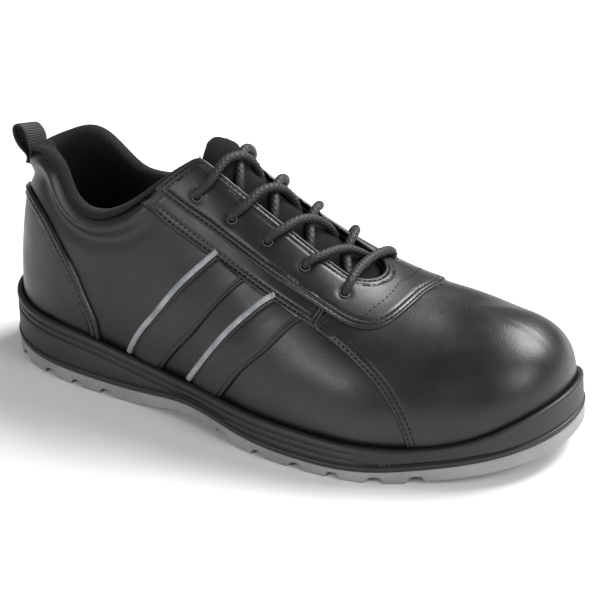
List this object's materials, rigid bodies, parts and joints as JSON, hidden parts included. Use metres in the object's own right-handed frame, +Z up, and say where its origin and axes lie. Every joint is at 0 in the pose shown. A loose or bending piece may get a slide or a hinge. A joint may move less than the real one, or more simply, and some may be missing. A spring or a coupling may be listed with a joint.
{
  "type": "safety sneaker",
  "caption": "Low lace-up safety shoe, right foot: hollow black leather upper with padded collar, tongue, side bars and heel loop on a two-layer moulded sole with lugs.",
  "frame": {"origin": "on the floor, at the middle of the heel's flat tread", "axes": "+X to the toe, +Y to the inner side of the right foot, +Z up"},
  "size_m": [0.3024, 0.1165, 0.1322],
  "materials": {
    "leather": "satin black",
    "midsole": "matt black moulded",
    "outsole": "light grey moulded",
    "textile": "black knit and webbing",
    "cord": "black braid",
    "reflective": "silver reflective"
  },
  "bodies": {
    "root": {"outsole": "outsole", "midsole": "midsole", "insole": "textile", "upper": "leather", "tongue": "textile", "facing": "leather", "heel_counter": "leather", "pull_loop": "textile", "rear_bar_outer": "leather", "rear_piping_outer": "reflective", "front_bar_outer": "leather", "front_piping_outer": "reflective", "rear_bar_inner": "leather", "rear_piping_inner": "reflective", "front_bar_inner": "leather", "front_piping_inner": "reflective", "lace_bar": "cord", "lace_crossing_1": "cord", "lace_crossing_2": "cord", "lace_crossing_3": "cord", "lace_crossing_4": "cord"}
  },
  "joints": []
}
